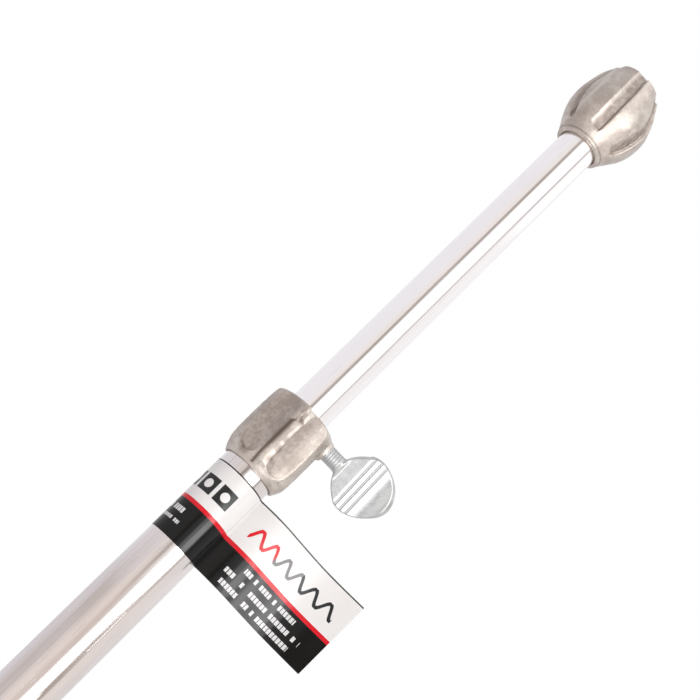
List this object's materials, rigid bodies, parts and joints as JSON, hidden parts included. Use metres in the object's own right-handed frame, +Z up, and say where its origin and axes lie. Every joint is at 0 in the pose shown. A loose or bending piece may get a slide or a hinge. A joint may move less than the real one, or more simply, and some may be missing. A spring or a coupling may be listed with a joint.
{
  "type": "telescopic bank stick",
  "caption": "Two telescoping aluminium tubes with a fluted cast head, a screw clamp collar and a helical ground point, to hold a rod rest by the water.",
  "frame": {"origin": "on the stick's axis at the ground line, where the outer tube leaves the spiral point", "axes": "+Z up along the stick towards the head, +X along the thumb screw away from the stick"},
  "size_m": [0.0614, 0.026, 0.6098],
  "materials": {
    "outer_tube": "bright drawn, lightly scratched",
    "inner_tube": "bright drawn",
    "cast_metal": "rough die casting, tumbled",
    "cast_point": "rough die casting",
    "zinc_plate": "bright zinc plate",
    "pad_nylon": "natural nylon",
    "bush_nylon": "black nylon",
    "label": "satin printed vinyl"
  },
  "bodies": {
    "root": {"spiral_point": "cast_point", "outer_tube": "outer_tube", "clamp_collar": "cast_metal", "label": "label"},
    "pressure_pad": {"pressure_pad": "pad_nylon"},
    "thumb_screw": {"thumb_screw": "zinc_plate"},
    "foot_bush": {"foot_bush": "bush_nylon"},
    "inner_stick": {"inner_tube": "inner_tube", "head": "cast_metal"}
  },
  "joints": [
    {"name": "pad_slide", "type": "slide", "parent": "root", "child": "pressure_pad", "axis": [1, 0, 0], "range_m": [0, 0.0024]},
    {"name": "screw_turn", "type": "hinge", "parent": "pressure_pad", "child": "thumb_screw", "pos_m": [0.02, 0, 0.3739], "axis": [1, 0, 0], "range_deg": [0, 1080]},
    {"name": "inner_slide", "type": "slide", "parent": "root", "child": "foot_bush", "axis": [0, 0, 1], "range_m": [-0.1178, 0.14]},
    {"name": "inner_swivel", "type": "hinge", "parent": "foot_bush", "child": "inner_stick", "pos_m": [0, 0, 0.3], "axis": [0, 0, 1], "continuous": true}
  ],
  "couplings": [
    {"joint": "screw_turn", "follows": "pad_slide", "rad_per_m": 7854}
  ]
}
